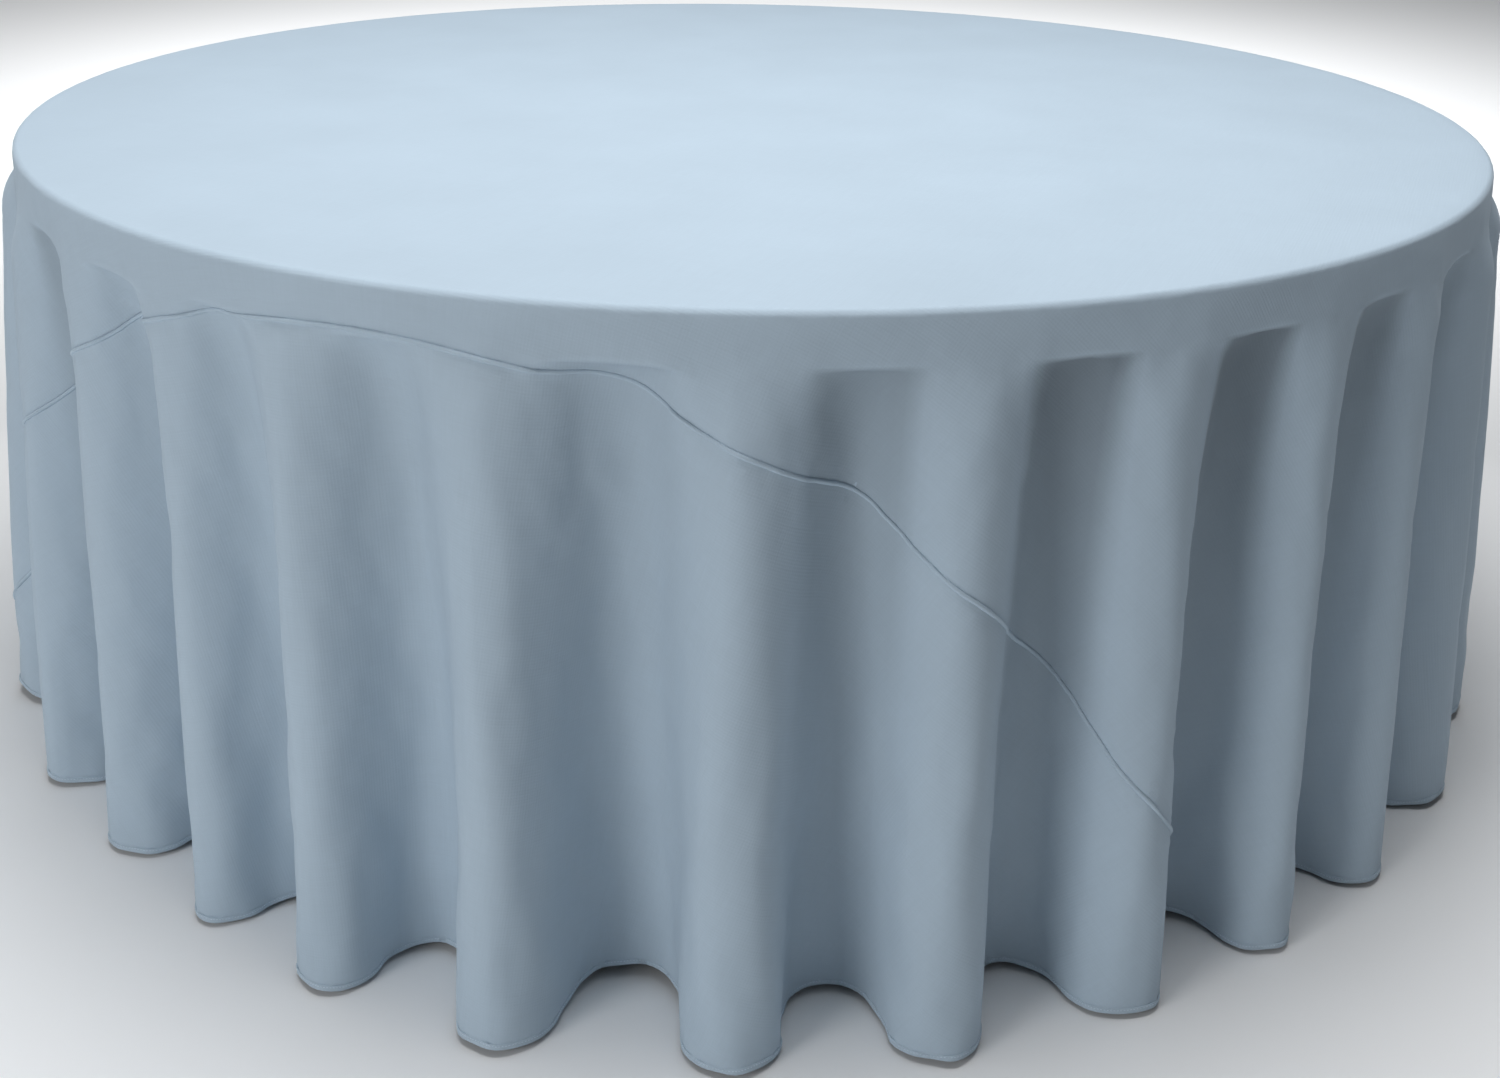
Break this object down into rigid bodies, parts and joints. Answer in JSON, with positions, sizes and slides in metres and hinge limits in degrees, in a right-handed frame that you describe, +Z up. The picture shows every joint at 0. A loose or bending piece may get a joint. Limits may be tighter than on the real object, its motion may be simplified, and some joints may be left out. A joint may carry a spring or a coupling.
{
  "type": "tablecloth on a round table",
  "caption": "Floor-length round tablecloth in pale blue-grey poplin, seamed from panels, draped in soft folds over a round folding banquet table with braced tubular legs.",
  "frame": {"origin": "on the floor, under the middle of the round top", "axes": "+Z up; the legs fold about axes along Y; -Y is the side the picture looks from"},
  "size_m": [1.9926, 1.9926, 0.7638],
  "materials": {
    "cloth": "plain-woven polyester poplin, pale blue-grey, slight sheen",
    "top": "blow-moulded polyethylene, fine grain, off-white",
    "frame_steel": "powder coat, grey, satin",
    "zinc": "bright zinc plate",
    "rubber": "moulded, matt black"
  },
  "bodies": {
    "table": {"top_panel": "top", "rail_front": "frame_steel", "rail_front_screw_1": "zinc", "rail_front_screw_2": "zinc", "rail_front_screw_3": "zinc", "rail_front_screw_4": "zinc", "rail_back": "frame_steel", "rail_back_screw_1": "zinc", "rail_back_screw_2": "zinc", "rail_back_screw_3": "zinc", "rail_back_screw_4": "zinc", "leg_saddle_right_front": "zinc", "leg_saddle_right_front_screw_1": "zinc", "leg_saddle_right_front_screw_2": "zinc", "leg_saddle_right_back": "zinc", "leg_saddle_right_back_screw_1": "zinc", "leg_saddle_right_back_screw_2": "zinc", "brace_anchor_right": "frame_steel", "brace_anchor_right_screw_1": "zinc", "brace_anchor_right_screw_2": "zinc", "brace_anchor_rivet_right": "zinc", "leg_saddle_left_front": "zinc", "leg_saddle_left_front_screw_1": "zinc", "leg_saddle_left_front_screw_2": "zinc", "leg_saddle_left_back": "zinc", "leg_saddle_left_back_screw_1": "zinc", "leg_saddle_left_back_screw_2": "zinc", "brace_anchor_left": "frame_steel", "brace_anchor_left_screw_1": "zinc", "brace_anchor_left_screw_2": "zinc", "brace_anchor_rivet_left": "zinc"},
    "leg_right": {"leg_frame_right": "frame_steel", "leg_crossbar_upper_right": "frame_steel", "leg_crossbar_lower_right": "frame_steel", "brace_lug_right": "frame_steel", "brace_lug_rivet_right": "zinc", "foot_cap_right_front": "rubber", "foot_cap_right_back": "rubber"},
    "leg_left": {"leg_frame_left": "frame_steel", "leg_crossbar_upper_left": "frame_steel", "leg_crossbar_lower_left": "frame_steel", "brace_lug_left": "frame_steel", "brace_lug_rivet_left": "zinc", "foot_cap_left_front": "rubber", "foot_cap_left_back": "rubber"},
    "brace_upper_right": {"brace_upper_link_right": "frame_steel", "brace_knuckle_rivet_right": "zinc"},
    "brace_upper_left": {"brace_upper_link_left": "frame_steel", "brace_knuckle_rivet_left": "zinc"},
    "brace_lower_right": {"brace_lower_link_right": "frame_steel"},
    "brace_lower_left": {"brace_lower_link_left": "frame_steel"},
    "cloth": {"tablecloth_centre_panel": "cloth", "tablecloth_front_panel": "cloth", "tablecloth_back_panel": "cloth"}
  },
  "joints": [
    {"name": "leg_right_fold", "type": "hinge", "parent": "table", "child": "leg_right", "pos_m": [0.715, 0, 0.6919], "axis": [0, 1, 0], "range_deg": [0, 92]},
    {"name": "brace_upper_right_turn", "type": "hinge", "parent": "table", "child": "brace_upper_right", "pos_m": [0.385, 0, 0.7169], "axis": [0, 1, 0], "range_deg": [0, 131.67]},
    {"name": "brace_lower_right_turn", "type": "hinge", "parent": "leg_right", "child": "brace_lower_right", "pos_m": [0.70153, 0, 0.36123], "axis": [0, -1, 0], "range_deg": [0, 140.34]},
    {"name": "leg_left_fold", "type": "hinge", "parent": "table", "child": "leg_left", "pos_m": [-0.715, 0, 0.6919], "axis": [0, -1, 0], "range_deg": [0, 92]},
    {"name": "brace_upper_left_turn", "type": "hinge", "parent": "table", "child": "brace_upper_left", "pos_m": [-0.385, 0, 0.7169], "axis": [0, -1, 0], "range_deg": [0, 131.67]},
    {"name": "brace_lower_left_turn", "type": "hinge", "parent": "leg_left", "child": "brace_lower_left", "pos_m": [-0.70153, 0, 0.36123], "axis": [0, 1, 0], "range_deg": [0, 140.34]},
    {"name": "cloth_lift", "type": "slide", "parent": "table", "child": "cloth", "axis": [0, 0, 1], "range_m": [0, 0.8]}
  ],
  "couplings": [
    {"joint": "brace_upper_right_turn", "follows": "leg_right_fold", "ratio": 1.4312},
    {"joint": "brace_lower_right_turn", "follows": "leg_right_fold", "ratio": 1.5254},
    {"joint": "brace_upper_left_turn", "follows": "leg_left_fold", "ratio": 1.4312},
    {"joint": "brace_lower_left_turn", "follows": "leg_left_fold", "ratio": 1.5254}
  ]
}
